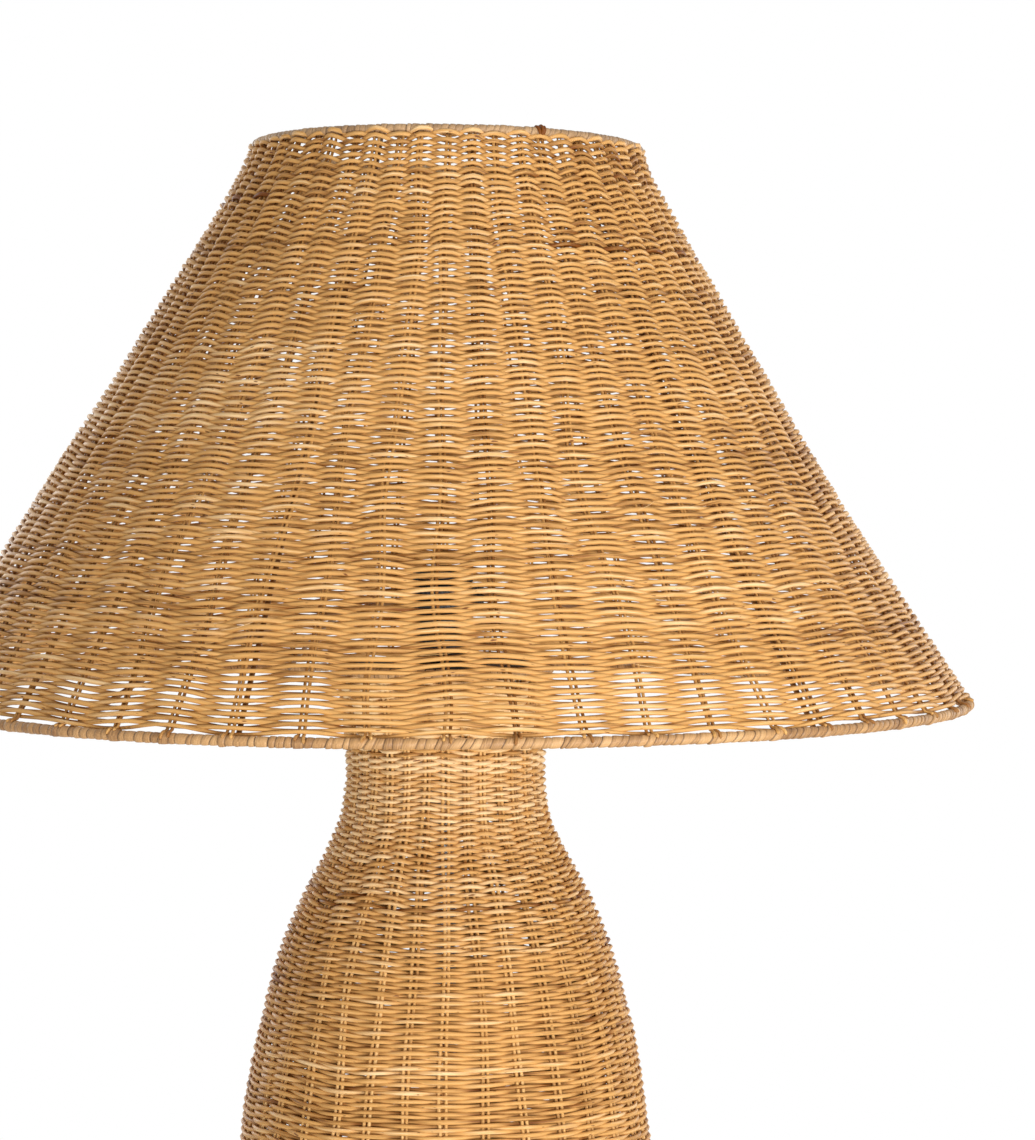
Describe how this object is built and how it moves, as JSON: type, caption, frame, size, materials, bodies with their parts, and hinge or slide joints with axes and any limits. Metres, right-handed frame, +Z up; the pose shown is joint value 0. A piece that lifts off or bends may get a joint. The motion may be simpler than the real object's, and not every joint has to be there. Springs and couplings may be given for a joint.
{
  "type": "floor lamp",
  "caption": "Woven rattan floor lamp: a bottle-shaped stand with a narrow neck carries a wide cone shade on a screw lampholder.",
  "frame": {"origin": "on the floor, under the middle of the foot", "axes": "+Z up along the lamp's middle line, +Y towards the cord outlet at the back"},
  "size_m": [0.68, 0.68, 1.5012],
  "materials": {
    "rattan": "natural rattan core, satin, woven in single strands",
    "peel": "flat rattan peel bound round a ring, satin",
    "painted_steel": "brown paint, satin",
    "black_steel": "black powder coat, fine texture",
    "zinc_steel": "zinc plated",
    "black_plastic": "moulded thermoplastic, satin",
    "core_ceramic": "unglazed white ceramic",
    "brass": "bright brass",
    "rubber": "matt black rubber"
  },
  "bodies": {
    "stand": {"stand_weave": "rattan", "foot_ring": "painted_steel", "foot_binding": "peel", "lip_ring": "painted_steel", "lip_binding": "peel", "upright_1": "painted_steel", "upright_2": "painted_steel", "upright_3": "painted_steel", "upright_4": "painted_steel", "lower_hoop": "painted_steel", "belly_hoop": "painted_steel", "shoulder_hoop": "painted_steel", "neck_hoop": "painted_steel", "base_plate": "black_steel", "foot_pad_1": "rubber", "foot_pad_2": "rubber", "foot_pad_3": "rubber", "foot_pad_4": "rubber", "centre_tube": "zinc_steel", "base_nipple": "zinc_steel", "base_washer": "zinc_steel", "base_nut": "zinc_steel", "cap_disc": "black_steel", "cap_nipple": "zinc_steel", "cap_washer": "zinc_steel", "cap_nut": "zinc_steel", "cord_bush": "black_plastic", "holder_cap": "black_plastic", "holder_skirt": "black_plastic", "holder_core": "core_ceramic", "holder_screw_shell": "brass", "holder_contact": "brass", "terminal_screw_1": "brass", "terminal_screw_2": "brass"},
    "seat": {"seat_ring": "black_plastic"},
    "shade": {"shade_weave": "rattan", "shade_rim_ring": "painted_steel", "shade_rim_binding": "peel", "shade_top_ring": "painted_steel", "shade_top_binding": "peel", "shade_rib_1": "painted_steel", "shade_rib_2": "painted_steel", "shade_rib_3": "painted_steel", "shade_rib_4": "painted_steel", "shade_rib_5": "painted_steel", "shade_rib_6": "painted_steel", "spider_hub": "black_steel", "spider_arm_1": "painted_steel", "spider_arm_2": "painted_steel", "spider_arm_3": "painted_steel"},
    "clamp": {"clamp_ring": "black_plastic"}
  },
  "joints": [
    {"name": "shade_turn", "type": "hinge", "parent": "stand", "child": "seat", "pos_m": [0, 0, 1.2077], "axis": [0, 0, 1], "continuous": true},
    {"name": "shade_lift", "type": "slide", "parent": "seat", "child": "shade", "axis": [0, 0, 1], "range_m": [0, 0.1]},
    {"name": "clamp_turn", "type": "hinge", "parent": "shade", "child": "clamp", "pos_m": [0, 0, 1.2163], "axis": [0, 0, 1], "continuous": true}
  ]
}
